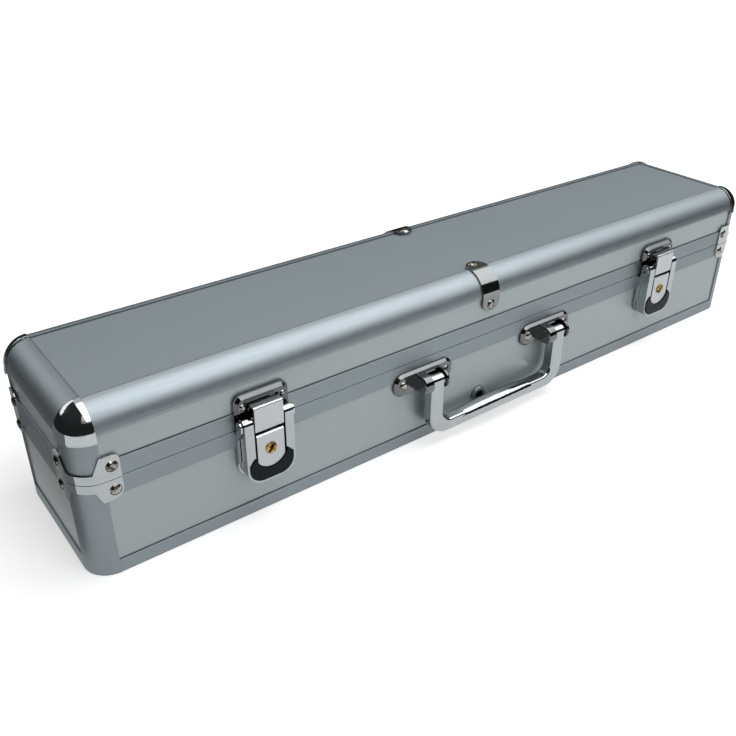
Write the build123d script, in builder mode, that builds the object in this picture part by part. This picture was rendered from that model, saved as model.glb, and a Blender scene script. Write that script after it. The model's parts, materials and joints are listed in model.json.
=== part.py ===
from build123d import *
from math import radians, sin
import os

# A slim aluminium-framed case for a flute, in millimetres. X runs along the case, the front face with the
# latches and the handle looks towards -Y, and the underside lies on Z = 0, centred on the origin.

# Case body
case_length = 520.0
case_width = 100.0
case_height = 97.0
lid_height = 39.4
closing_gap = 0.3
corner_radius = 14.2
frame_height = 10.0
bottom_edge_height = 8.0
skin = 0.8
wall = 1.2
panel_thickness = 4.0
panel_lap = 6.0
upstand_height = 4.0
upstand_play = 0.4
floor_ledge = 4.0

# Corner fittings and lid straps
fitting_play = 0.1
ball_wall = 0.8
ball_rim_height = 3.0
ball_rim_flare = 0.4
bracket_thickness = 1.0
bracket_reach = 22.6
bracket_band = 5.0
bracket_step = 9.0
lid_ear_height = 13.6
base_ear_height = 11.6
lid_ear_radius = 3.0
base_ear_radius = 6.0
bracket_rivet_reach = 18.5
lid_rivet_rise = 7.5
base_rivet_drop = 6.0
bracket_ear_slant = 24.0
strap_width = 13.4
strap_thickness = 1.0
strap_drop = 9.0
strap_top_reach = 5.8
strap_low_rivet = 4.8
strap_top_rivet = 2.7
strap_end_radius = 6.0

# Rivets
rivet_radius = 3.2
rivet_crown_share = 0.34
rivet_top_share = 0.56
small_rivet_radius = 2.0

# Latches, with their heights counted from the closing line
latch_inset = 99.2
latch_width = 32.0
latch_corner = 9.5
plate_thickness = 1.0
plate_low = -30.6
plate_high = -1.2
ear_thickness = 1.2
ear_flange = 2.6
ear_start = -20.6
ear_bend = -4.6
ear_radius = 2.6
ear_setback = 1.7
play = 0.3
strike_high = 20.9
strike_corner = 5.0
strike_rise = 3.0
strike_slant = 35.0
strike_rim_low = 9.6
strike_recess = 9.3
recess_rise = 1.1
strike_rivet_offset = 11.8
strike_rivet_rise = 14.2
ridge_width = 16.0
ridge_height = 4.0
ridge_rise = 1.0
ridge_taper = 30.0
lever_depth = 7.3
lever_low = -32.0
rail_width = 5.2
pocket_rim = 1.1
pad_high = -19.0
pad_rise = 0.6
web_thickness = 1.0
housing_half_width = 8.1
housing_low = -23.4
housing_high = -2.0
housing_arc = 9.3
housing_edge = 0.6
pivot_rise = 5.0
lever_pin_radius = 1.2
pin_play = 0.05
pin_head_radius = 1.9
pin_head = 0.5
claw_half_width = 8.5
claw_thickness = 1.2
claw_high = 15.2
claw_edge = 1.1
claw_barrel = 1.35
claw_pin_forward = 2.2
claw_pin_drop = 3.2
claw_pin_radius = 0.8
plug_radius = 3.3
plug_drop = 12.0
plug_length = 4.0
plug_rise = 0.5
key_slot_length = 5.0
key_slot_width = 1.5
key_slot_depth = 1.5
key_slot_tilt = 55.0

# Handle
bracket_spread = 103.0
bracket_plate_length = 44.0
bracket_plate_height = 15.0
bracket_plate_corner = 6.5
bracket_plate_thickness = 2.4
bracket_plate_edge = 1.5
bracket_plate_rivet = 16.2
handle_pivot_drop = 12.6
handle_pivot_out = 7.6
handle_low = 7.0
arm_shift = 3.4
arm_width = 9.8
arm_depth = 8.2
knuckle_radius = 4.2
handle_outer_corner = 14.0
handle_inner_corner = 7.0
handle_edge = 1.8
bow_height = 8.4
grip_half_length = 39.0
grip_height = 10.4
grip_depth = 11.6
grip_end_height = 7.6
grip_end_depth = 7.6
grip_roundness = 0.42
handle_pin_radius = 1.5
hood_radius = 5.9
hood_wall = 1.2
hood_boss_length = 6.0
canopy_reach = 4.6
hood_edge = 1.5
buffer_shift = -4.0
buffer_height = 15.0
buffer_radius = 5.5
buffer_out = 1.2
buffer_edge = 0.7
buffer_dish_radius = 2.7
buffer_dish_depth = 1.2

# Hinges
hinge_inset = 100.0
hinge_width = 40.0
hinge_leaf_height = 18.0
hinge_leaf_thickness = 1.2
hinge_leaf_corner = 3.0
hinge_barrel_radius = 2.6
hinge_axis_out = 2.9
hinge_knuckles = 3
hinge_knuckle_gap = 0.3
hinge_pin_radius = 1.25
hinge_rivet_inset = 9.0
hinge_rivet_rise = 12.5

# Lining
tray_top_gap = 1.4
lining_play = 0.4
pad_thickness = 20.0
lid_pad_corner = 3.0
well_margin = 7.0
body_well_length = 412.0
body_well_width = 35.4
body_well_depth = 31.0
head_well_length = 234.0
foot_well_length = 148.0
small_well_width = 27.0
small_well_depth = 27.0
scoop_radius = 17.0

# Worked-out places
closing_height = case_height - lid_height
half_length = case_length / 2
half_width = case_width / 2
base_top = closing_height - closing_gap / 2
lid_bottom = closing_height + closing_gap / 2
frame_low = base_top - frame_height
frame_high = lid_bottom + frame_height
round_low = case_height - corner_radius
slot_depth = skin + panel_thickness
channel_depth = slot_depth + wall
upstand_depth = channel_depth + upstand_play
upstand_inner = upstand_depth + wall
pivot_out = plate_thickness + play + lever_depth / 2
pivot_height = closing_height + pivot_rise
lever_face = plate_thickness + play + lever_depth
lever_bottom = closing_height + lever_low
pocket_top = closing_height + pad_high
housing_bottom = closing_height + housing_low
housing_top = closing_height + housing_high
claw_top = closing_height + claw_high
claw_pin_out = pivot_out + claw_pin_forward
claw_pin_height = pivot_height - claw_pin_drop
plug_height = closing_height - plug_drop
strike_rivet_height = closing_height + strike_rivet_rise
rail_outer = latch_width / 2 - ear_thickness - play
rail_inner = rail_outer - rail_width
latch_places = (latch_inset - half_length, half_length - latch_inset)
handle_pivot_height = closing_height - handle_pivot_drop
hinge_places = (hinge_inset - half_length, half_length - hinge_inset)
LOW = (Align.MIN, Align.MIN)
ON_SEAT = (Align.CENTER, Align.CENTER, Align.MIN)
LONG_SIDES = ("front", "back")
INWARD = {"front": (0, 1, 0), "back": (0, -1, 0), "left": (1, 0, 0), "right": (-1, 0, 0)}


def write(builder, name):
    """Label a finished sub-part and write its STEP file."""
    builder.part.label = name
    export_step(builder.part, f"parts/{name}.step")


def bar(x_low, x_high, y_low, y_high, mode=Mode.ADD):
    """A rectangle in the current sketch, from its low corner to its high corner."""
    with Locations((x_low, y_low)):
        Rectangle(x_high - x_low, y_high - y_low, align=LOW, mode=mode)


def disc(x, y, radius, mode=Mode.ADD):
    """A circle in the current sketch."""
    with Locations((x, y)):
        Circle(radius, mode=mode)


def run_length(side):
    """The length of a straight wall between the rounded corners."""
    return (case_length if side in LONG_SIDES else case_width) - 2 * corner_radius


def edge_plane(side, height=0.0, down=False):
    """The plane of a wall's cross-section: x inward from the face, y up (or down), normal along the wall."""
    inward = Vector(INWARD[side])
    along = inward.cross(Vector(0, 0, -1 if down else 1))
    reach = half_width if side in LONG_SIDES else half_length
    start = Vector(0, 0, height) - inward * reach - along * (run_length(side) / 2)
    return Plane(origin=start, x_dir=inward, z_dir=along)


def corner_plane(height):
    """The plan view of the front left corner: x and y both inward from the outer corner."""
    return Plane(origin=(-half_length, -half_width, height))


def face_plane(x, out=0.0):
    """The front face seen from outside: x along the case, y up, normal outward."""
    return Plane(origin=(x, -half_width - out, 0), x_dir=(1, 0, 0), z_dir=(0, -1, 0))


def side_view(x):
    """A section of what stands on the front face: x outward from the face, y up, normal towards -X."""
    return Plane(origin=(x, -half_width, 0), x_dir=(0, -1, 0), z_dir=(-1, 0, 0))


def rounded_corner_section():
    """The closed corner extrusion: a quarter ring with a web at each end for the panels to butt against."""
    disc(corner_radius, corner_radius, corner_radius)
    disc(corner_radius, corner_radius, corner_radius - wall, Mode.SUBTRACT)
    bar(0, corner_radius, 0, corner_radius, Mode.INTERSECT)
    bar(corner_radius - wall, corner_radius, 0, channel_depth)
    bar(0, channel_depth, corner_radius - wall, corner_radius)


def panel_tongues():
    """The two tongues of a corner extrusion that lie behind its panels."""
    bar(corner_radius - wall, corner_radius + panel_lap, slot_depth, channel_depth)
    bar(slot_depth, channel_depth, corner_radius - wall, corner_radius + panel_lap)


def corner_cap(inner_edge):
    """The flat end web of a corner post, outside the opening that starts at inner_edge."""
    disc(corner_radius, corner_radius, corner_radius)
    bar(0, corner_radius, 0, corner_radius, Mode.INTERSECT)
    bar(inner_edge, corner_radius, inner_edge, corner_radius, Mode.SUBTRACT)


def lid_frame_section():
    """The lid's closing extrusion, a channel that opens upward for the side panel."""
    bar(0, channel_depth, lid_bottom, lid_bottom + wall)
    bar(0, skin, lid_bottom, frame_high)
    bar(slot_depth, channel_depth, lid_bottom, frame_high)


def base_frame_section():
    """The base's closing extrusion, a channel that opens downward, with the upstand that enters the lid."""
    bar(0, upstand_inner, base_top - wall, base_top)
    bar(0, skin, frame_low, base_top)
    bar(slot_depth, channel_depth, frame_low, base_top)
    bar(upstand_depth, upstand_inner, base_top - wall, base_top + upstand_height)


def bottom_edge_section():
    """The bottom extrusion: a channel for the side panel and a ledge over the bottom panel."""
    bar(0, channel_depth, 0, wall)
    bar(0, skin, 0, bottom_edge_height)
    bar(slot_depth, channel_depth, 0, bottom_edge_height)
    bar(slot_depth, channel_depth + floor_ledge, panel_thickness, panel_thickness + wall)


def four_corners():
    """Repeat what stands at the front left corner at the other three."""
    mirror(about=Plane.YZ)
    mirror(about=Plane.XZ)


# Straight extrusions and side panels, one per wall
for side in ("front", "back", "left", "right"):
    with BuildPart() as top_edge:
        section_plane = edge_plane(side, case_height, down=True)
        with BuildSketch(section_plane):
            rounded_corner_section()
        extrude(amount=run_length(side))
        with BuildSketch(section_plane.offset(panel_lap)):
            panel_tongues()
        extrude(amount=run_length(side) - 2 * panel_lap)
    write(top_edge, f"lid_round_edge_{side}")

    with BuildPart() as lid_frame:
        with BuildSketch(edge_plane(side)):
            lid_frame_section()
        extrude(amount=run_length(side))
    write(lid_frame, f"lid_frame_{side}")

    with BuildPart() as base_frame:
        with BuildSketch(edge_plane(side)):
            base_frame_section()
        extrude(amount=run_length(side))
    write(base_frame, f"base_frame_{side}")

    with BuildPart() as lid_panel:
        with BuildSketch(edge_plane(side)):
            bar(skin, slot_depth, lid_bottom + wall, round_low)
        extrude(amount=run_length(side))
    write(lid_panel, f"lid_panel_{side}")

    with BuildPart() as base_panel:
        with BuildSketch(edge_plane(side)):
            bar(skin, slot_depth, wall, base_top - wall)
        extrude(amount=run_length(side))
    write(base_panel, f"base_panel_{side}")

for pair, side, opposite in (("long", "front", Plane.XZ), ("short", "left", Plane.YZ)):
    with BuildPart() as bottom_edges:
        with BuildSketch(edge_plane(side)):
            bottom_edge_section()
        extrude(amount=run_length(side))
        mirror(about=opposite)
    write(bottom_edges, f"bottom_edges_{pair}")

# Top and bottom panels
with BuildPart() as top_panel:
    with BuildSketch(Plane.XY.offset(case_height - slot_depth)):
        Rectangle(run_length("front"), run_length("left"))
    extrude(amount=panel_thickness)
write(top_panel, "lid_top_panel")

with BuildPart() as bottom_panel:
    with BuildSketch(Plane.XY):
        Rectangle(case_length - 2 * channel_depth, case_width - 2 * channel_depth)
    extrude(amount=panel_thickness)
write(bottom_panel, "bottom_panel")

# Corner posts of the base and of the lid
with BuildPart() as base_posts:
    with BuildSketch(corner_plane(0)):
        rounded_corner_section()
    extrude(amount=base_top)
    with BuildSketch(corner_plane(bottom_edge_height)):
        panel_tongues()
    extrude(amount=frame_low - bottom_edge_height)
    with BuildSketch(corner_plane(0)):
        corner_cap(channel_depth)
    extrude(amount=wall)
    with BuildSketch(corner_plane(base_top - wall)):
        corner_cap(upstand_inner)
    extrude(amount=wall)
    with BuildSketch(corner_plane(base_top - wall)):
        bar(upstand_depth, corner_radius, upstand_depth, corner_radius)
        bar(upstand_inner, corner_radius, upstand_inner, corner_radius, Mode.SUBTRACT)
    extrude(amount=upstand_height + wall)
    four_corners()
write(base_posts, "base_corner_posts")

with BuildPart() as lid_posts:
    with BuildSketch(corner_plane(lid_bottom)):
        rounded_corner_section()
    extrude(amount=round_low - lid_bottom)
    with BuildSketch(corner_plane(frame_high)):
        panel_tongues()
    extrude(amount=round_low - panel_lap - frame_high)
    with BuildSketch(corner_plane(lid_bottom)):
        corner_cap(channel_depth)
    extrude(amount=wall)
    four_corners()
write(lid_posts, "lid_corner_posts")

# Ball corners on the lid: an eighth of a sphere with a flared rim
ball_centre = Vector(corner_radius - half_length, corner_radius - half_width, round_low)
ball_inner = corner_radius + fitting_play
ball_outer = corner_radius + ball_wall
with BuildPart() as ball_corners:
    with BuildSketch(Plane(origin=ball_centre, x_dir=(-1, 0, 0), z_dir=(0, 1, 0))):
        Circle(ball_outer)
        Circle(ball_inner, mode=Mode.SUBTRACT)
        bar(0, ball_outer, 0, ball_outer, Mode.INTERSECT)
        with BuildLine():
            Polyline(
                (ball_inner, 0),
                (ball_inner, -ball_rim_height),
                (ball_outer + ball_rim_flare, -ball_rim_height),
                (ball_outer + ball_rim_flare, -ball_rim_height / 2),
                (ball_outer, 0),
                close=True,
            )
        make_face()
    revolve(axis=Axis(ball_centre, (0, 0, 1)), revolution_arc=90)
    four_corners()
write(ball_corners, "lid_ball_corners")


def corner_bracket_plan():
    """The plan of a bracket that wraps the rounded corner and lies along both faces."""
    disc(corner_radius, corner_radius, corner_radius + bracket_thickness)
    bar(-bracket_thickness, corner_radius, -bracket_thickness, corner_radius, Mode.INTERSECT)
    bar(corner_radius, bracket_reach, -bracket_thickness, 0)
    bar(-bracket_thickness, 0, corner_radius, bracket_reach)
    disc(corner_radius, corner_radius, corner_radius + fitting_play, Mode.SUBTRACT)


def corner_brackets(name, seam, height, away, ear_radius):
    """Four brackets with their long edge on the closing line and their two ears reaching away from it."""
    with BuildPart() as brackets:
        with BuildSketch(corner_plane(seam)):
            corner_bracket_plan()
        extrude(amount=away * height)
        with BuildSketch(corner_plane(seam + away * bracket_band)) as ear_gap:
            bar(-bracket_reach, bracket_step, -bracket_reach, bracket_step)
        extrude(ear_gap.sketch, amount=away * height, taper=-bracket_ear_slant, mode=Mode.SUBTRACT)
        tip = -1 if away > 0 else 0
        fillet(brackets.edges().filter_by(Axis.Y).group_by(Axis.X)[-1].sort_by(Axis.Z)[tip], ear_radius)
        fillet(brackets.edges().filter_by(Axis.X).group_by(Axis.Y)[-1].sort_by(Axis.Z)[tip], ear_radius)
        four_corners()
    write(brackets, name)


lid_rivet_height = lid_bottom + lid_rivet_rise
base_rivet_height = base_top - base_rivet_drop
corner_brackets("lid_corner_brackets", lid_bottom, lid_ear_height, 1, lid_ear_radius)
corner_brackets("base_corner_brackets", base_top, base_ear_height, -1, base_ear_radius)

# Straps that tie the lid's side panels over the round edges to its top panel
strap_rivet_height = round_low - strap_low_rivet
strap_rivet_inset = corner_radius + strap_top_rivet
for side in LONG_SIDES:
    inward_y = INWARD[side][1]
    strap_plane = edge_plane(side).offset((run_length(side) - strap_width) / 2)
    with BuildPart() as strap:
        with BuildSketch(strap_plane):
            disc(corner_radius, round_low, corner_radius + strap_thickness)
            bar(-strap_thickness, corner_radius, round_low, case_height + strap_thickness, Mode.INTERSECT)
            bar(-strap_thickness, 0, round_low - strap_drop, round_low)
            bar(corner_radius, corner_radius + strap_top_reach, case_height, case_height + strap_thickness)
            disc(corner_radius, round_low, corner_radius + fitting_play, Mode.SUBTRACT)
        extrude(amount=strap_width)
        fillet(strap.edges().filter_by(Axis.Y).group_by(Axis.Z)[0], strap_end_radius)
        top_end = -1 if inward_y > 0 else 0
        fillet(strap.edges().filter_by(Axis.Z).group_by(Axis.Y)[top_end], strap_end_radius)
    write(strap, f"lid_strap_{side}")


def outward_spot(side, along, height):
    """A place on a wall's outer face, with its normal outward."""
    x_in, y_in, _ = INWARD[side]
    x = along if side in LONG_SIDES else -x_in * half_length
    y = -y_in * half_width if side in LONG_SIDES else along
    return Plane(origin=(x, y, height), z_dir=(-x_in, -y_in, 0))


def corner_spots(height):
    """The eight rivet places of a set of corner brackets."""
    spots = []
    for sign in (-1, 1):
        for side in LONG_SIDES:
            spots.append(outward_spot(side, sign * (half_length - bracket_rivet_reach), height))
        for side in ("left", "right"):
            spots.append(outward_spot(side, sign * (half_width - bracket_rivet_reach), height))
    return spots


def add_rivets(spots, plate, radius):
    """Crowned rivet heads that stand on a plate of the given thickness."""
    with Locations(*[spot.offset(plate) for spot in spots]):
        Cone(radius, radius * rivet_top_share, radius * rivet_crown_share, align=ON_SEAT)


# Latches: everything is drawn on the front face, at the latch's own centre
def latch_outline(half, low, high, corner):
    """A plate outline with its two lower corners rounded."""
    bar(-half, half, low + corner, high)
    bar(corner - half, half - corner, low, low + corner)
    disc(corner - half, low + corner, corner)
    disc(half - corner, low + corner, corner)


def pivot_hole(x, out, height, radius, length):
    """A hole along X through what stands on the front face."""
    with Locations(Plane(origin=(x, -half_width - out, height), z_dir=(1, 0, 0))):
        Cylinder(radius, length, mode=Mode.SUBTRACT)


def pin(x, out, height, radius, length):
    """A pin along X, centred on x."""
    with Locations(Plane(origin=(x, -half_width - out, height), z_dir=(1, 0, 0))):
        Cylinder(radius, length)


for latch, x in zip(("latch_left", "latch_right"), latch_places):
    half = latch_width / 2
    face = face_plane(x)

    with BuildPart() as base_plate:
        with BuildSketch(face):
            latch_outline(half, closing_height + plate_low, closing_height + plate_high, latch_corner)
        extrude(amount=plate_thickness)
        ear_tip = pivot_out + ear_radius
        for ear_x in (x - half, x + half - ear_thickness):
            with BuildSketch(side_view(ear_x)):
                with BuildLine():
                    Polyline(
                        (0, closing_height + plate_high),
                        (0, closing_height + ear_start),
                        (plate_thickness, closing_height + ear_start),
                        (ear_flange, closing_height + ear_start + ear_flange),
                        (ear_flange, closing_height + ear_bend),
                        (ear_tip, pivot_height - ear_radius),
                        (ear_tip, pivot_height),
                    )
                    ThreePointArc(
                        (ear_tip, pivot_height),
                        (pivot_out, pivot_height + ear_radius),
                        (pivot_out - ear_radius, pivot_height),
                    )
                    Polyline(
                        (pivot_out - ear_radius, pivot_height),
                        (ear_setback, closing_height + plate_high),
                        (0, closing_height + plate_high),
                    )
                make_face()
            extrude(amount=-ear_thickness)
        pivot_hole(x, pivot_out, pivot_height, lever_pin_radius + pin_play, 2 * latch_width)
    write(base_plate, f"{latch}_base_plate")

    with BuildPart() as strike:
        strike_top = closing_height + strike_high
        with BuildSketch(face) as plate_outline:
            bar(-half, half, lid_bottom, strike_top)
            fillet(plate_outline.vertices().group_by(Axis.Y)[-1], strike_corner)
        extrude(amount=plate_thickness)
        with BuildSketch(face) as rim_outline:
            bar(-half, half, closing_height + strike_rim_low, strike_top)
            fillet(rim_outline.vertices().group_by(Axis.Y)[-1], strike_corner)
        extrude(rim_outline.sketch, amount=strike_rise, taper=strike_slant)
        with BuildSketch(face_plane(x, plate_thickness)) as recess:
            bar(-strike_recess, strike_recess, lid_bottom, claw_top + recess_rise)
        extrude(recess.sketch, amount=strike_rise, mode=Mode.SUBTRACT)
        ridge_top = claw_top - claw_thickness - play
        with BuildSketch(face_plane(x, plate_thickness)) as ridge:
            bar(-ridge_width / 2, ridge_width / 2, ridge_top - ridge_height, ridge_top)
        extrude(ridge.sketch, amount=ridge_rise, taper=ridge_taper)
    write(strike, f"{latch}_strike")

    with BuildPart() as lever:
        with BuildSketch(face_plane(x, plate_thickness + play)):
            latch_outline(rail_outer, lever_bottom, pivot_height + lever_depth / 2, latch_corner)
            bar(-rail_inner, rail_inner, pocket_top, case_height, Mode.SUBTRACT)
        extrude(amount=lever_depth)
        with BuildSketch(face_plane(x, plate_thickness + play)):
            bar(-rail_inner, rail_inner, pocket_top, housing_top)
        extrude(amount=web_thickness)
        with BuildSketch(side_view(x - half)):
            bar(0, lever_face, lever_bottom, pivot_height)
            disc(pivot_out, pivot_height, lever_depth / 2)
        extrude(amount=-latch_width, mode=Mode.INTERSECT)
        with BuildSketch(face_plane(x, plate_thickness + play + web_thickness)):
            latch_outline(rail_outer - pocket_rim, lever_bottom + pocket_rim, pocket_top, latch_corner - pocket_rim)
        extrude(amount=lever_depth, mode=Mode.SUBTRACT)
        pivot_hole(x, pivot_out, pivot_height, lever_pin_radius + pin_play, 2 * latch_width)
        pivot_hole(x, claw_pin_out, claw_pin_height, claw_pin_radius, 2 * latch_width)
    write(lever, f"{latch}_lever")

    with BuildPart() as housing:
        with BuildSketch(face_plane(x, plate_thickness + play + web_thickness)):
            disc(0, housing_bottom + housing_arc, housing_arc)
            bar(-housing_arc, housing_arc, housing_bottom + housing_arc, housing_top)
            bar(-housing_half_width, housing_half_width, housing_bottom, housing_top, Mode.INTERSECT)
        extrude(amount=lever_depth - web_thickness)
        with Locations(face_plane(x, lever_face)):
            with Locations((0, plug_height)):
                Cylinder(plug_radius + pin_play, 2 * plug_length, mode=Mode.SUBTRACT)
        chamfer(housing.faces().sort_by(Axis.Y)[0].edges().sort_by(Axis.Z)[-1], housing_edge)
    write(housing, f"{latch}_lock_housing")

    with BuildPart() as thumb_pad:
        pad_rim = pocket_rim + fitting_play
        with BuildSketch(face_plane(x, plate_thickness + play + web_thickness)):
            latch_outline(rail_outer - pad_rim, lever_bottom + pad_rim, pocket_top, latch_corner - pad_rim)
            disc(0, housing_bottom + housing_arc, housing_arc + play, Mode.SUBTRACT)
        extrude(amount=lever_depth - web_thickness + pad_rise)
        fillet(thumb_pad.faces().sort_by(Axis.Y)[0].edges().sort_by(Axis.Z)[:3], pad_rise)
    write(thumb_pad, f"{latch}_thumb_pad")

    with BuildPart() as plug:
        with BuildSketch(face_plane(x, lever_face - plug_length)):
            disc(0, plug_height, plug_radius)
        extrude(amount=plug_length + plug_rise)
        with BuildSketch(face_plane(x, lever_face + plug_rise)):
            with Locations((0, plug_height)):
                Rectangle(key_slot_length, key_slot_width, rotation=key_slot_tilt)
        extrude(amount=-key_slot_depth, mode=Mode.SUBTRACT)
    write(plug, f"{latch}_lock_plug")

    with BuildPart() as claw:
        with BuildSketch(side_view(x - claw_half_width)):
            disc(claw_pin_out, claw_pin_height, claw_barrel)
            bar(lever_face - claw_thickness, lever_face, claw_pin_height - claw_barrel, claw_top)
            bar(plate_thickness + ridge_rise + play, lever_face, claw_top - claw_thickness, claw_top)
        extrude(amount=-2 * claw_half_width)
        fillet(claw.edges().filter_by(Axis.X).sort_by(Axis.Z)[-2:].sort_by(Axis.Y)[0], claw_edge)
        pivot_hole(x, claw_pin_out, claw_pin_height, claw_pin_radius + pin_play, latch_width)
    write(claw, f"{latch}_claw")

    with BuildPart() as claw_pin:
        pin(x, claw_pin_out, claw_pin_height, claw_pin_radius, 2 * rail_outer)
    write(claw_pin, f"{latch}_claw_pin")

with BuildPart() as lever_pins:
    for x in latch_places:
        pin(x, pivot_out, pivot_height, lever_pin_radius, latch_width)
        for end in (-1, 1):
            pin(x + end * (latch_width + pin_head) / 2, pivot_out, pivot_height, pin_head_radius, pin_head)
write(lever_pins, "latch_lever_pins")

# Handle: a cast bow that hangs from two pins, each held in a hooded bracket. Both brackets are the same
# casting, so both arms stand to the right of their plates' centres.
bracket_places = (-bracket_spread / 2, bracket_spread / 2)
arm_places = [place + arm_shift for place in bracket_places]
arm_low = arm_shift - arm_width / 2
arm_high = arm_shift + arm_width / 2
boss_high = arm_low - play
boss_low = boss_high - hood_boss_length
cheek_low = arm_high + play
cheek_high = cheek_low + hood_wall
canopy_radius = hood_radius - hood_wall
canopy_low = handle_pivot_height + arm_depth / 2 + play
pin_length = cheek_high - boss_low - hood_wall
pin_centre = cheek_high - pin_length / 2


def grip_section(x, height, depth):
    """A rounded section of the grip, standing on the handle's lowest line."""
    with BuildSketch(side_view(x)) as section:
        with Locations((handle_pivot_out, handle_low + height / 2)):
            RectangleRounded(depth, height, grip_roundness * depth)
    return section.sketch


with BuildPart() as grip:
    loft([
        grip_section(arm_shift - grip_half_length, grip_end_height, grip_end_depth),
        grip_section(arm_shift, grip_height, grip_depth),
        grip_section(arm_shift + grip_half_length, grip_end_height, grip_end_depth),
    ])

with BuildPart() as handle:
    bow_plane = face_plane(0, handle_pivot_out - arm_depth / 2)
    with BuildSketch(bow_plane) as bow:
        bar(arm_places[0] - arm_width / 2, arm_places[1] + arm_width / 2, handle_low, handle_pivot_height)
        fillet(bow.vertices().group_by(Axis.Y)[0], handle_outer_corner)
    extrude(amount=arm_depth)
    with BuildSketch(bow_plane) as finger_gap:
        bar(arm_places[0] + arm_width / 2, arm_places[1] - arm_width / 2, handle_low + bow_height, case_height)
        fillet(finger_gap.vertices().group_by(Axis.Y)[0], handle_inner_corner)
    extrude(amount=arm_depth, mode=Mode.SUBTRACT)
    fillet(handle.faces().filter_by(Axis.Y).edges().group_by(Axis.Z)[:-1], handle_edge)
    add(grip.part)
    for x in arm_places:
        pin(x, handle_pivot_out, handle_pivot_height, knuckle_radius, arm_width)
    pivot_hole(0, handle_pivot_out, handle_pivot_height, handle_pin_radius + pin_play, case_length)
write(handle, "handle")


def hood_section():
    """The side view of a handle bracket's hood, from the plate out round the pin."""
    disc(handle_pivot_out, handle_pivot_height, hood_radius)
    bar(0, handle_pivot_out, handle_pivot_height - hood_radius, handle_pivot_height + hood_radius)


with BuildPart() as bracket_plate:
    with BuildSketch(face_plane(0)):
        with Locations((0, handle_pivot_height)):
            RectangleRounded(bracket_plate_length, bracket_plate_height, bracket_plate_corner)
    extrude(amount=bracket_plate_thickness)
    chamfer(bracket_plate.edges().group_by(Axis.Y)[0], bracket_plate_edge)

for bracket, centre in zip(("left", "right"), bracket_places):
    with BuildPart() as handle_bracket:
        with BuildSketch(side_view(centre + boss_high)):
            hood_section()
        extrude(amount=hood_boss_length)
        boss_end = handle_bracket.faces().filter_by(Axis.X).sort_by(Axis.X)[0]
        fillet(boss_end.edges().sort_by(Axis.Y)[:3], hood_edge)
        with Locations((centre, 0, 0)):
            add(bracket_plate.part)
        with BuildSketch(side_view(centre + cheek_high)):
            hood_section()
        extrude(amount=hood_wall)
        with BuildSketch(side_view(centre + cheek_low)):
            hood_section()
            disc(handle_pivot_out, handle_pivot_height, canopy_radius, Mode.SUBTRACT)
            bar(0, canopy_reach, canopy_low, handle_pivot_height + hood_radius, Mode.INTERSECT)
            bar(0, handle_pivot_out, canopy_low, handle_pivot_height + canopy_radius, Mode.SUBTRACT)
        extrude(amount=cheek_low - boss_high)
        pivot_hole(
            centre + pin_centre,
            handle_pivot_out,
            handle_pivot_height,
            handle_pin_radius + pin_play,
            pin_length,
        )
    write(handle_bracket, f"handle_bracket_{bracket}")

with BuildPart() as handle_pins:
    for centre in bracket_places:
        pin(centre + pin_centre, handle_pivot_out, handle_pivot_height, handle_pin_radius, pin_length)
write(handle_pins, "handle_pins")

with BuildPart() as handle_buffer:
    with Locations(face_plane(buffer_shift, -skin)):
        with Locations((0, buffer_height)):
            Cylinder(buffer_radius, skin + buffer_out, align=ON_SEAT)
    chamfer(handle_buffer.edges().sort_by(Axis.Y)[0], buffer_edge)
    with Locations(face_plane(buffer_shift, buffer_out)):
        with Locations((0, buffer_height, -buffer_dish_depth)):
            Cylinder(buffer_dish_radius, buffer_dish_depth, align=ON_SEAT, mode=Mode.SUBTRACT)
write(handle_buffer, "handle_buffer")

# Hinges on the back face, with the knuckles on the closing line
knuckle_pitch = hinge_width / hinge_knuckles
hinge_axis_y = half_width + hinge_axis_out
leaf_clear = hinge_barrel_radius + hinge_knuckle_gap


def hinge_barrels(x, owned, radius, length, mode=Mode.ADD):
    """Cylinders along the hinge line, centred on the knuckles with the given numbers."""
    for number in owned:
        knuckle_x = x + (number - (hinge_knuckles - 1) / 2) * knuckle_pitch
        with Locations(Plane(origin=(knuckle_x, hinge_axis_y, closing_height), z_dir=(1, 0, 0))):
            Cylinder(radius, length, mode=mode)


for name, away, first in (("hinge_base_leaves", -1, 0), ("hinge_lid_leaves", 1, 1)):
    owned = range(first, hinge_knuckles, 2)
    with BuildPart() as leaves:
        for x in hinge_places:
            back_face = Plane(origin=(x, half_width, closing_height), x_dir=(1, 0, 0), z_dir=(0, -1, 0))
            with BuildSketch(back_face) as leaf:
                near, far = sorted((away * leaf_clear, away * hinge_leaf_height))
                bar(-hinge_width / 2, hinge_width / 2, near, far)
                fillet(leaf.vertices().group_by(Axis.Y)[-1 if away > 0 else 0], hinge_leaf_corner)
                for number in owned:
                    tab_x = (number - (hinge_knuckles - 1) / 2) * knuckle_pitch
                    half_tab = (knuckle_pitch - hinge_knuckle_gap) / 2
                    low, high = sorted((0, away * (leaf_clear + wall)))
                    bar(tab_x - half_tab, tab_x + half_tab, low, high)
            extrude(amount=-hinge_leaf_thickness)
            hinge_barrels(x, owned, hinge_barrel_radius, knuckle_pitch - hinge_knuckle_gap)
            hinge_barrels(x, owned, hinge_pin_radius + pin_play, knuckle_pitch, Mode.SUBTRACT)
    write(leaves, name)

with BuildPart() as hinge_pins:
    middle = ((hinge_knuckles - 1) / 2,)
    for x in hinge_places:
        hinge_barrels(x, middle, hinge_pin_radius, hinge_width)
write(hinge_pins, "hinge_pins")

# Rivets of the lid and of the base
hinge_rivet_places = [
    hinge_x + step
    for hinge_x in hinge_places
    for step in (hinge_rivet_inset - hinge_width / 2, hinge_width / 2 - hinge_rivet_inset)
]

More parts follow.
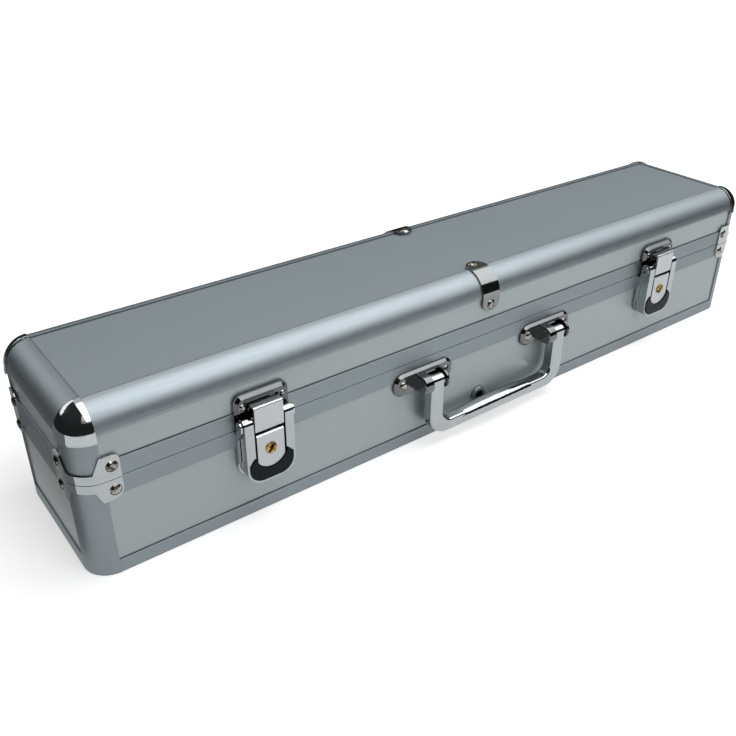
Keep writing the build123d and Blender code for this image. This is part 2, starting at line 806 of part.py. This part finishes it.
with BuildPart() as lid_rivets:
    add_rivets(corner_spots(lid_rivet_height), bracket_thickness, rivet_radius)
    strap_spots = [outward_spot(side, 0, strap_rivet_height) for side in LONG_SIDES]
    strap_spots += [
        Plane(origin=(0, sign * (half_width - strap_rivet_inset), case_height)) for sign in (-1, 1)
    ]
    add_rivets(strap_spots, strap_thickness, rivet_radius)
    strike_spots = [
        outward_spot("front", latch_x + offset, strike_rivet_height)
        for latch_x in latch_places
        for offset in (-strike_rivet_offset, strike_rivet_offset)
    ]
    add_rivets(strike_spots, strike_rise, small_rivet_radius)
    hinge_spots = [outward_spot("back", x, closing_height + hinge_rivet_rise) for x in hinge_rivet_places]
    add_rivets(hinge_spots, hinge_leaf_thickness, rivet_radius)
write(lid_rivets, "lid_rivets")

with BuildPart() as base_rivets:
    add_rivets(corner_spots(base_rivet_height), bracket_thickness, rivet_radius)
    handle_spots = [
        outward_spot("front", place + offset, handle_pivot_height)
        for place in bracket_places
        for offset in (-bracket_plate_rivet, bracket_plate_rivet)
    ]
    add_rivets(handle_spots, bracket_plate_thickness, rivet_radius)
    hinge_spots = [outward_spot("back", x, closing_height - hinge_rivet_rise) for x in hinge_rivet_places]
    add_rivets(hinge_spots, hinge_leaf_thickness, rivet_radius)
write(base_rivets, "base_rivets")

# Lining: a tray with a bed for each flute joint, and a pad in the lid
lining_inset = upstand_inner + lining_play
tray_low = panel_thickness + wall
tray_high = base_top - tray_top_gap
tray_half_length = half_length - lining_inset
tray_half_width = half_width - lining_inset
back_row = tray_half_width - well_margin - body_well_width / 2
front_row = well_margin + small_well_width / 2 - tray_half_width
wells_start = well_margin - tray_half_length
wells_end = tray_half_length - well_margin
head_end = wells_start + head_well_length
foot_end = head_end + well_margin + foot_well_length
body_end = wells_start + body_well_length


def well(x_low, x_high, y, width, depth):
    """Cut a round-bottomed trough along X into the tray."""
    axis_height = tray_high - depth + width / 2
    with BuildSketch(Plane.YZ.offset(x_low)) as trough:
        disc(y, axis_height, width / 2)
        bar(y - width / 2, y + width / 2, axis_height, tray_high)
    extrude(trough.sketch, amount=x_high - x_low, mode=Mode.SUBTRACT)


with BuildPart() as tray:
    with BuildSketch(Plane.XY.offset(tray_low)):
        Rectangle(2 * tray_half_length, 2 * tray_half_width)
    extrude(amount=tray_high - tray_low)
    well(wells_start, body_end, back_row, body_well_width, body_well_depth)
    well(body_end + well_margin, wells_end, back_row, body_well_width, body_well_depth)
    well(wells_start, head_end, front_row, small_well_width, small_well_depth)
    well(head_end + well_margin, foot_end, front_row, small_well_width, small_well_depth)
    well(foot_end + well_margin, wells_end, front_row, small_well_width, small_well_depth)
    scoop_half = tray_half_width - well_margin
    for x in ((wells_start + head_end) / 2, (head_end + well_margin + foot_end) / 2):
        with Locations(Plane(origin=(x, 0, tray_high), z_dir=(0, 1, 0))):
            Cylinder(scoop_radius, 2 * scoop_half, mode=Mode.SUBTRACT)
write(tray, "flute_tray")

with BuildPart() as lid_pad:
    with BuildSketch(Plane.XY.offset(case_height - slot_depth - wall)):
        RectangleRounded(2 * tray_half_length, 2 * tray_half_width, lid_pad_corner)
    extrude(amount=-pad_thickness)
write(lid_pad, "lid_pad")
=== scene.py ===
import json
import math
import bpy
from mathutils import Matrix, Vector

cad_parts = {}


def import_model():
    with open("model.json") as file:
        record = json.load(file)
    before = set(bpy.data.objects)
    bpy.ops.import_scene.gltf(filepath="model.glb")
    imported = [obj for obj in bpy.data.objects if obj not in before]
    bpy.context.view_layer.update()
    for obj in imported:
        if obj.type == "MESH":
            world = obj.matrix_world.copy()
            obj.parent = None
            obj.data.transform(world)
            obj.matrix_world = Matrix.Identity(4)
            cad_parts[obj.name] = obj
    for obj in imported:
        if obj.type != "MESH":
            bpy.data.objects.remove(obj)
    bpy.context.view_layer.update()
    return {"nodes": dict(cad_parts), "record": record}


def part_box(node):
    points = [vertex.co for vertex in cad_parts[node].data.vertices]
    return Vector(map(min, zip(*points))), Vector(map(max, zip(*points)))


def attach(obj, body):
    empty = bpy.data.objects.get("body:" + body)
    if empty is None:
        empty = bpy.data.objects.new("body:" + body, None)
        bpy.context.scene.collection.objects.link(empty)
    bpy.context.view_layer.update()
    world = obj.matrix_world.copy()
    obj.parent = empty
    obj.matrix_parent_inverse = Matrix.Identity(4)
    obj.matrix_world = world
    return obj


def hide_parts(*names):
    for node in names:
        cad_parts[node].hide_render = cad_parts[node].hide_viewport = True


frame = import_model()
nodes = frame["nodes"]
scene = bpy.context.scene

# Places from the frame: the case's outer corner, the corners of its top panel and the heights of its joints
outer_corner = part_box("base_corner_posts")[1]
top_low, top_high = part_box("lid_top_panel")
lid_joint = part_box("lid_frame_front")[1].z
base_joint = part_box("base_frame_front")[0].z
bottom_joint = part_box("bottom_edges_long")[1].z


# ---------------------------------------------------------------- node helpers
def feed(tree, value, socket):
    """Gives a socket the output of another node, a colour of three numbers, or a number."""
    if isinstance(value, bpy.types.NodeSocket):
        tree.links.new(value, socket)
    elif isinstance(value, tuple):
        socket.default_value = (*value, 1.0)
    else:
        socket.default_value = value


def math_node(tree, operation, a, b=0.0):
    node = tree.nodes.new("ShaderNodeMath")
    node.operation = operation
    feed(tree, a, node.inputs[0])
    feed(tree, b, node.inputs[1])
    return node.outputs[0]


def spread_node(tree, value, low, high, out_low, out_high):
    """Maps low and high to out_low and out_high, with no values beyond those two."""
    node = tree.nodes.new("ShaderNodeMapRange")
    feed(tree, value, node.inputs["Value"])
    feed(tree, low, node.inputs["From Min"])
    feed(tree, high, node.inputs["From Max"])
    feed(tree, out_low, node.inputs["To Min"])
    feed(tree, out_high, node.inputs["To Max"])
    return node.outputs["Result"]


def place_axes(tree):
    """The place on the object, as outputs X, Y and Z."""
    place = tree.nodes.new("ShaderNodeTexCoord")
    axes = tree.nodes.new("ShaderNodeSeparateXYZ")
    tree.links.new(place.outputs["Object"], axes.inputs[0])
    return axes.outputs


def seen_rays(tree):
    """1 for the rays that see a surface straight, mirrored or through glass, and 0 for all others."""
    path = tree.nodes.new("ShaderNodeLightPath")
    seen = path.outputs["Is Camera Ray"]
    for key in ("Is Glossy Ray", "Is Transmission Ray"):
        seen = math_node(tree, "MAXIMUM", seen, path.outputs[key])
    return seen


class Shader:
    """A Principled material, with short calls for the nodes that the finishes share."""

    def __init__(self, name, color, metallic=0.0, roughness=0.5, **sockets):
        self.material = bpy.data.materials.new(name)
        self.material.use_nodes = True
        self.tree = self.material.node_tree
        self.bsdf = self.tree.nodes["Principled BSDF"]
        self.set("Base Color", color)
        self.set("Metallic", metallic)
        self.set("Roughness", roughness)
        for key, value in sockets.items():
            self.set(key.replace("_", " "), value)
        self.place = self.tree.nodes.new("ShaderNodeTexCoord").outputs["Object"]

    def set(self, key, value):
        feed(self.tree, value, self.bsdf.inputs[key])

    def math(self, operation, a, b=0.0):
        return math_node(self.tree, operation, a, b)

    def spread(self, value, low, high, out_low, out_high):
        return spread_node(self.tree, value, low, high, out_low, out_high)

    def noise(self, scale, stretch=(1, 1, 1), detail=3.0, roughness=0.55):
        mapping = self.tree.nodes.new("ShaderNodeMapping")
        mapping.inputs["Scale"].default_value = stretch
        self.tree.links.new(self.place, mapping.inputs["Vector"])
        node = self.tree.nodes.new("ShaderNodeTexNoise")
        node.inputs["Scale"].default_value = scale
        node.inputs["Detail"].default_value = detail
        node.inputs["Roughness"].default_value = roughness
        self.tree.links.new(mapping.outputs[0], node.inputs["Vector"])
        return node.outputs["Fac"]

    def mix(self, factor, a, b):
        """A blend of two colours, a at factor 0 and b at factor 1."""
        node = self.tree.nodes.new("ShaderNodeMix")
        node.data_type = "RGBA"
        feed(self.tree, factor, node.inputs[0])
        feed(self.tree, a, node.inputs[6])
        feed(self.tree, b, node.inputs[7])
        return node.outputs[2]

    def bump(self, height, strength, distance):
        node = self.tree.nodes.new("ShaderNodeBump")
        node.inputs["Strength"].default_value = strength
        node.inputs["Distance"].default_value = distance
        self.tree.links.new(height, node.inputs["Height"])
        self.set("Normal", node.outputs[0])

    def near(self, value, line, half):
        """1 within half of the line and 0 beyond it, with a short fade."""
        away = self.math("ABSOLUTE", self.math("SUBTRACT", value, line))
        return self.spread(away, half * 0.7, half * 1.3, 1.0, 0.0)


def tone(color, factor):
    return tuple(min(channel * factor, 1.0) for channel in color)


# ---------------------------------------------------------------- finishes
# Noise scales per metre, from the finest to the broadest
GRAIN = 3200.0
HAIRLINES = 2600.0
SPECKS = 900.0
DIMPLES = 500.0
PATCHES = 420.0
MARKS = 140.0
RIPPLES = 60.0
NAP = 28.0
CLOUDS = 9.0
WIDE_CLOUDS = 6.0

# The band of a noise's values over which an effect goes from none to all
SOFT = (0.3, 0.7)
CRISP = (0.35, 0.65)

# A brushed finish's noise is drawn out along its lines by this scale
LINE_STRETCH = 0.02

POLISH = 0.06
SMUDGE = 0.1
# Painted shadow: the colour and strength of the dark lines where a laminate sheet enters its frames, for
# the shade in those gaps
JOINT_SHADOW_PAINT = (0.004, 0.006, 0.008)
JOINT_SHADOW_STRENGTH = 0.85


def brushed(name, along, color, roughness=0.5, contrast=0.04):
    """An anodised or brushed metal with fine lines along one axis."""
    shader = Shader(name, color, metallic=1.0, roughness=roughness)
    stretch = tuple(LINE_STRETCH if axis == along else 1.0 for axis in "xyz")
    lines = shader.noise(HAIRLINES, stretch, detail=2.0)
    streaks = shader.spread(lines, *SOFT, 0.0, 1.0)
    shade = shader.mix(streaks, tone(color, 1 - contrast), tone(color, 1 + contrast))
    clouds = shader.spread(shader.noise(CLOUDS), *CRISP, 0.0, 0.35)
    shader.set("Base Color", shader.mix(clouds, shade, tone(color, 0.86)))
    shader.set("Roughness", shader.spread(lines, *SOFT, roughness - 0.06, roughness + 0.06))
    shader.bump(lines, 0.08, 0.00004)
    return shader.material


def laminate(name, color, joints):
    """A satin silver-grey sheet, very finely grained, with dark lines of painted shadow where it enters its
    frames.
    """
    shader = Shader(name, color, metallic=0.35, roughness=0.36)
    grain = shader.noise(GRAIN, detail=2.0)
    shade = shader.mix(shader.spread(grain, *CRISP, 0.0, 1.0), tone(color, 0.96), tone(color, 1.04))
    clouds = shader.spread(shader.noise(WIDE_CLOUDS, detail=2.0), *CRISP, 0.0, 0.5)
    shade = shader.mix(clouds, shade, tone(color, 0.93))
    axes = place_axes(shader.tree)
    # Painted shadow: dark in a narrow band round each joint line, standing in for the shade in the gap
    dark = 0.0
    for axis, line, half in joints:
        dark = shader.math("MAXIMUM", dark, shader.near(axes[axis], line, half))
    shader.set("Base Color", shader.mix(shader.math("MULTIPLY", dark, JOINT_SHADOW_STRENGTH), shade, JOINT_SHADOW_PAINT))
    shader.set("Roughness", shader.spread(grain, *CRISP, 0.32, 0.4))
    shader.bump(grain, 0.05, 0.00003)
    return shader.material


def polished(name, color):
    """Bright plating with faint handling marks."""
    shader = Shader(name, color, metallic=1.0, roughness=POLISH)
    marks = shader.noise(MARKS, detail=5.0, roughness=0.7)
    shader.set("Roughness", shader.spread(marks, 0.45, 0.75, POLISH, POLISH + SMUDGE))
    shader.set("Base Color", shader.mix(shader.spread(marks, 0.4, 0.8, 0.0, 0.3), color, tone(color, 0.8)))
    shader.bump(shader.noise(RIPPLES), 0.04, 0.0002)
    return shader.material


def handled(name, color, roughness, dark):
    """Bright turned metal with darker patches of handling, as on a rivet head or a lock plug."""
    shader = Shader(name, color, metallic=1.0, roughness=roughness)
    patches = shader.spread(shader.noise(PATCHES), 0.42, 0.6, 0.0, 1.0)
    shader.set("Base Color", shader.mix(patches, color, dark))
    shader.set("Roughness", shader.spread(patches, 0.0, 1.0, roughness, roughness + 0.15))
    shader.bump(shader.noise(DIMPLES), 0.1, 0.0002)
    return shader.material


def moulded(name):
    """A glossy black moulding."""
    shader = Shader(name, (0.003, 0.006, 0.012), roughness=0.16, Specular_IOR_Level=0.1)
    specks = shader.noise(SPECKS)
    shader.set("Roughness", shader.spread(specks, *SOFT, 0.12, 0.24))
    shader.bump(specks, 0.03, 0.00004)
    return shader.material


def dished(name, middle, reach, rim, dark):
    """A satin moulding with a dark dish, on the XZ plane, round its middle."""
    shader = Shader(name, rim, metallic=0.5, roughness=0.35)
    axes = place_axes(shader.tree)
    across = shader.math("SUBTRACT", axes["X"], middle.x)
    up = shader.math("SUBTRACT", axes["Z"], middle.z)
    squares = shader.math("ADD", shader.math("MULTIPLY", across, across), shader.math("MULTIPLY", up, up))
    away = shader.math("SQRT", squares)
    specks = shader.spread(shader.noise(SPECKS), *SOFT, 0.0, 0.5)
    shade = shader.mix(specks, rim, tone(rim, 0.7))
    dish = shader.spread(away, reach * 0.92, reach * 1.08, 1.0, 0.0)
    shader.set("Base Color", shader.mix(dish, shade, dark))
    shader.set("Roughness", shader.spread(specks, 0.0, 0.5, 0.28, 0.4))
    return shader.material


def velvet(name):
    """A black pile with a soft sheen."""
    shader = Shader(name, (0.006, 0.006, 0.007), roughness=0.95, Sheen_Weight=0.35, Sheen_Roughness=0.4)
    shader.set("Sheen Tint", (0.35, 0.36, 0.4))
    pile = shader.noise(HAIRLINES, detail=4.0, roughness=0.7)
    shade = shader.mix(shader.spread(pile, *SOFT, 0.0, 1.0), (0.003, 0.003, 0.004), (0.018, 0.018, 0.021))
    nap = shader.spread(shader.noise(NAP), *CRISP, 0.0, 0.6)
    shader.set("Base Color", shader.mix(nap, shade, (0.012, 0.012, 0.015)))
    shader.bump(pile, 0.5, 0.0003)
    return shader.material


def middle_of(node_name):
    """The middle of a node's box."""
    low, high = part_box(node_name)
    return (low + high) / 2


SATIN = (0.25, 0.285, 0.305)
SIDE_GREY = (0.36, 0.405, 0.415)
TOP_GREY = (0.335, 0.39, 0.42)
# Joint lines of painted shadow on the laminates, each as axis, place and half width
side_joint_shadows = [("Z", lid_joint, 0.0006), ("Z", base_joint, 0.0004), ("Z", bottom_joint, 0.0005)]
top_joint_shadows = [("X", top_low.x, 0.0006), ("Y", top_high.y, 0.0006)]
satin_along = {axis: brushed(f"satin_aluminium_{axis}", axis, SATIN) for axis in "xyz"}
finishes = {
    "chrome": polished("chrome", (0.36, 0.385, 0.395)),
    "satin_nickel": brushed("satin_nickel", "z", (0.43, 0.445, 0.465), roughness=0.3, contrast=0.015),
    "steel": handled("bright_steel", (0.36, 0.35, 0.31), 0.1, (0.07, 0.065, 0.05)),
    "brass": handled("brass", (0.42, 0.28, 0.06), 0.18, (0.05, 0.035, 0.012)),
    "black_plastic": moulded("black_gloss"),
    "black_velvet": velvet("black_velvet"),
    "side_laminate": laminate("side_laminate", SIDE_GREY, side_joint_shadows),
    "top_laminate": laminate("top_laminate", TOP_GREY, top_joint_shadows),
}
# Painted shade: darker copies of the chrome for the straps, handle brackets and strikes, so that they
# mirror the bright cards less than the other chrome
strap_chrome_painted_shade = polished("strap_chrome_painted_shade", (0.19, 0.2, 0.2))
bracket_chrome_painted_shade = polished("bracket_chrome_painted_shade", (0.14, 0.147, 0.15))
strike_chrome_painted_shade = polished("strike_chrome_painted_shade", (0.105, 0.112, 0.116))
buffer_finish = dished(
    "buffer_finish", middle_of("handle_buffer"), 0.003, rim=(0.17, 0.19, 0.2), dark=(0.01, 0.012, 0.015)
)
slot_of = {row["node"]: row["material_slot"] for row in frame["record"]["subparts"]}


def finish_for(name):
    slot = slot_of[name]
    if name == "handle_buffer":
        return buffer_finish
    # Strikes, handle brackets and straps take the darker chrome copies, which are painted shade
    if name.endswith("strike"):
        return strike_chrome_painted_shade
    if name.startswith("handle_bracket"):
        return bracket_chrome_painted_shade
    if name.startswith("lid_strap"):
        return strap_chrome_painted_shade
    if slot != "satin_aluminium":
        return finishes[slot]
    if "posts" in name:
        return satin_along["z"]
    return satin_along["y" if name.endswith(("left", "right", "short")) else "x"]


# The CAD nodes keep their meshes, and take a finish and fine bevels that catch the light
WELD_REACH = 1e-6
EDGE_BREAK = 0.00018
RIVET_BREAK = 0.0004
SHARP_ANGLE = math.radians(35)

for name, node in nodes.items():
    node.data.materials.clear()
    node.data.materials.append(finish_for(name))
    weld = node.modifiers.new("weld", "WELD")
    weld.merge_threshold = WELD_REACH
    edges = node.modifiers.new("edges", "BEVEL")
    edges.width = RIVET_BREAK if name.endswith("rivets") else EDGE_BREAK
    edges.segments = 2
    edges.limit_method = "ANGLE"
    edges.angle_limit = SHARP_ANGLE
    edges.harden_normals = False
    normals = node.modifiers.new("normals", "WEIGHTED_NORMAL")
    normals.keep_sharp = True
    for polygon in node.data.polygons:
        polygon.use_smooth = True


# ---------------------------------------------------------------- lining
PAD_PRESSURE = 4.0
PAD_FRAMES = 20


def blow_up(body, cap):
    """Fills a pad by Cloth pressure with gravity off, and keeps the result, with moves of up to cap."""
    cloth = body.modifiers.new("cloth", "CLOTH")
    cloth.settings.quality = 4
    cloth.settings.use_pressure = True
    cloth.settings.uniform_pressure_force = PAD_PRESSURE
    cloth.settings.effector_weights.gravity = 0.0
    cloth.point_cache.frame_start, cloth.point_cache.frame_end = 1, PAD_FRAMES
    for step in range(1, PAD_FRAMES + 1):
        scene.frame_set(step)
    blown = body.evaluated_get(bpy.context.evaluated_depsgraph_get()).data
    targets = [vertex.co.copy() for vertex in blown.vertices]
    body.modifiers.remove(cloth)
    for vertex, target in zip(body.data.vertices, targets):
        move = target - vertex.co
        vertex.co += move * min(1.0, cap / max(move.length, 1e-9))
    scene.frame_set(1)


def velvet_pad(node_name, name, body_name, voxel, rounds, inset, cap):
    """A padded copy of a lining solid with rolled rims, kept inside the solid's own box."""
    low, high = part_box(node_name)
    centre = middle_of(node_name)
    shrink = [1 - 2 * inset / size for size in high - low]
    source = nodes[node_name].data.copy()
    smaller = Matrix.Diagonal((*shrink, 1))
    source.transform(Matrix.Translation(centre) @ smaller @ Matrix.Translation(-centre))
    body = bpy.data.objects.new(name, source)
    scene.collection.objects.link(body)
    remesh = body.modifiers.new("remesh", "REMESH")
    remesh.mode = "VOXEL"
    remesh.voxel_size = voxel
    smooth = body.modifiers.new("smooth", "SMOOTH")
    smooth.factor = 0.5
    smooth.iterations = rounds
    depsgraph = bpy.context.evaluated_depsgraph_get()
    mesh = bpy.data.meshes.new_from_object(body.evaluated_get(depsgraph))
    body.modifiers.clear()
    body.data = mesh
    blow_up(body, cap)
    for vertex in body.data.vertices:
        for axis in range(3):
            vertex.co[axis] = min(max(vertex.co[axis], low[axis]), high[axis])
    body.data.materials.clear()
    body.data.materials.append(finishes["black_velvet"])
    for polygon in body.data.polygons:
        polygon.use_smooth = True
    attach(body, body_name)
    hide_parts(node_name)
    return body


velvet_pad("flute_tray", "velvet_tray", "base", voxel=0.0025, rounds=4, inset=0.0008, cap=0.0010)
lid_cushion = velvet_pad(
    "lid_pad", "velvet_lid_cushion", "lid", voxel=0.004, rounds=3, inset=0.0015, cap=0.0030
)
# The cushion's faces are larger than the tray's, so they are divided once more
finer = lid_cushion.modifiers.new("finer", "SUBSURF")
finer.levels = finer.render_levels = 1


# ---------------------------------------------------------------- camera
CAMERA_PLACE = Vector((-0.33686, -0.37842, 0.31076))
CAMERA_TURN = math.radians(-36.7282)
CAMERA_TILT = math.radians(59.06)
CAMERA_ROLL = math.radians(0.2191)
CAMERA_LENS = 41.95


def camera():
    data = bpy.data.cameras.new("camera")
    data.sensor_width = 36.0
    data.lens = CAMERA_LENS
    data.clip_start, data.clip_end = 0.01, 60
    body = bpy.data.objects.new("camera", data)
    scene.collection.objects.link(body)
    aim = Matrix.Rotation(CAMERA_TURN, 4, "Z") @ Matrix.Rotation(CAMERA_TILT, 4, "X")
    body.matrix_world = Matrix.Translation(CAMERA_PLACE) @ aim @ Matrix.Rotation(CAMERA_ROLL, 4, "Z")
    scene.camera = body


# ---------------------------------------------------------------- studio
FLOOR_REACH = 30.0
FLOOR_DROP = 0.0003
FLOOR_SHADE = 0.8
FLOOR_FADE = (0.02, 0.22)
CARD_RADIUS = 3.0
CARD_STEPS = 48
RING_TOP = 1.2
APRON_HEIGHT = 0.001


def plain_mesh(name, verts, faces, material):
    """A mesh of one material that isn't part of the case."""
    mesh = bpy.data.meshes.new(name)
    mesh.from_pydata(verts, [], faces)
    mesh.materials.append(material)
    body = bpy.data.objects.new(name, mesh)
    scene.collection.objects.link(body)
    return body


def level_sheet(name, low, high, height, material):
    """A level rectangle between two corners, given as x and y."""
    (left, front), (right, back) = low, high
    verts = [(left, front, height), (right, front, height), (right, back, height), (left, back, height)]
    return plain_mesh(name, verts, [(0, 1, 2, 3)], material)


def bare_material(name):
    """A material with an output and no shader, as its tree and its surface input too."""
    material = bpy.data.materials.new(name)
    material.use_nodes = True
    tree = material.node_tree
    tree.nodes.clear()
    return material, tree, tree.nodes.new("ShaderNodeOutputMaterial").inputs["Surface"]


def floor_white(near, far):
    """A diffuse white that also glows where it is seen, by near beside the case and by far away from it."""
    material, tree, surface = bare_material("floor_white")
    diffuse = tree.nodes.new("ShaderNodeBsdfDiffuse")
    feed(tree, (FLOOR_SHADE, FLOOR_SHADE, FLOOR_SHADE), diffuse.inputs["Color"])
    axes = place_axes(tree)
    beyond_end = math_node(tree, "SUBTRACT", math_node(tree, "ABSOLUTE", axes["X"]), outer_corner.x)
    beyond_side = math_node(tree, "SUBTRACT", math_node(tree, "ABSOLUTE", axes["Y"]), outer_corner.y)
    away = math_node(tree, "MAXIMUM", beyond_end, beyond_side)
    glow = math_node(tree, "MULTIPLY", seen_rays(tree), spread_node(tree, away, *FLOOR_FADE, near, far))
    emission = tree.nodes.new("ShaderNodeEmission")
    feed(tree, glow, emission.inputs["Strength"])
    both = tree.nodes.new("ShaderNodeAddShader")
    tree.links.new(diffuse.outputs[0], both.inputs[0])
    tree.links.new(emission.outputs[0], both.inputs[1])
    tree.links.new(both.outputs[0], surface)
    return material


def shade_only(name, shade, fade=None):
    """A material of one brightness, whatever lights it. A fade is low and high x, and a factor at each."""
    material, tree, surface = bare_material(name)
    emission = tree.nodes.new("ShaderNodeEmission")
    feed(tree, (shade, shade, shade), emission.inputs["Color"])
    if fade:
        feed(tree, spread_node(tree, place_axes(tree)["X"], *fade), emission.inputs["Strength"])
    tree.links.new(emission.outputs[0], surface)
    return material


def unseen(body):
    """Leaves a card to reflections alone."""
    body.visible_camera = False
    body.visible_diffuse = False
    body.visible_shadow = False


def round_card(name, start, end, lower, upper, shade):
    """A card round the case between two bearings, from the front by way of the right.

    Each of its edges is given as a radius and a height.
    """
    verts = []
    for step in range(CARD_STEPS + 1):
        bearing = math.radians(start + (end - start) * step / CARD_STEPS)
        for radius, height in (lower, upper):
            verts.append((radius * math.sin(bearing), -radius * math.cos(bearing), height))
    faces = [(2 * i, 2 * i + 2, 2 * i + 3, 2 * i + 1) for i in range(CARD_STEPS)]
    unseen(plain_mesh(name, verts, faces, shade_only(name, shade)))


def flag(name, low, high, shade, start=0.0, end=360.0):
    """An upright card, curved round the case."""
    round_card(name, start, end, (CARD_RADIUS, low), (CARD_RADIUS, high), shade)


def apron(name, inner, shade):
    """A ring just above the floor, out to the upright cards."""
    round_card(name, 0.0, 360.0, (CARD_RADIUS, APRON_HEIGHT), (inner, APRON_HEIGHT), shade)


def card(name, low, high, height, shade):
    """A level card of one brightness."""
    unseen(level_sheet(name, low, high, height, shade_only(name, shade)))


def canopy(name, low, high, height, left, right):
    """A level card that fades from its left end to its right."""
    fading = shade_only(name, 1.0, fade=(low[0], high[0], left, right))
    unseen(level_sheet(name, low, high, height, fading))


def softbox(name, place, aim, width, height, power):
    """A lamp that reflections don't see."""
    data = bpy.data.lights.new(name, "AREA")
    data.shape = "RECTANGLE"
    data.size, data.size_y = width, height
    data.energy = power
    body = bpy.data.objects.new(name, data)
    scene.collection.objects.link(body)
    body.location = place
    body.rotation_mode = "QUATERNION"
    body.rotation_quaternion = (Vector(aim) - Vector(place)).to_track_quat("-Z", "Y")
    body.visible_glossy = False


def world(lit, seen):
    """A white surround that lights the case by one strength and is seen at another."""
    sky = bpy.data.worlds.new("studio")
    scene.world = sky
    sky.use_nodes = True
    tree = sky.node_tree
    background = tree.nodes["Background"]
    feed(tree, (1.0, 1.0, 1.0), background.inputs["Color"])
    feed(tree, spread_node(tree, seen_rays(tree), 0.0, 1.0, lit, seen), background.inputs["Strength"])


camera()
world(0.25, 1.0)
floor_corner = Vector((FLOOR_REACH, FLOOR_REACH))
level_sheet("floor", -floor_corner, floor_corner, -FLOOR_DROP, floor_white(0.55, 0.85))

# Cards that only reflections see, to shape what the metals mirror
flag("dark_ring", 0.0, RING_TOP, 0.03)
flag("dark_front", RING_TOP, 1.9, 0.03, -30, 110)
flag("grey_front", 1.9, 2.6, 0.45, -30, 110)
flag("dark_right", RING_TOP, 2.6, 0.25, 110, 190)
flag("pale_left", RING_TOP, 3.2, 2.3, 190, 235)
flag("dark_left", RING_TOP, 5.0, 0.04, 235, 330)
apron("dark_apron", 0.6, 0.03)
card("left_card", (-0.70, -0.04), (-0.272, 0.45), 0.0005, 0.27)
card("left_roof", (-1.6, -0.7), (-0.432, 1.1), 1.25, 0.05)
canopy("canopy", (-0.43, -1.6), (1.9, 0.45), 1.2, 4.2, 2.3)
softbox("overhead", (0.25, -0.22, 1.2), (0.25, -0.22, 0.0), 1.0, 0.8, 7)
softbox("fill", (0.5, -2.0, 0.9), (0, 0, 0.05), 1.5, 1.5, 13)

scene.view_settings.view_transform = "Standard"
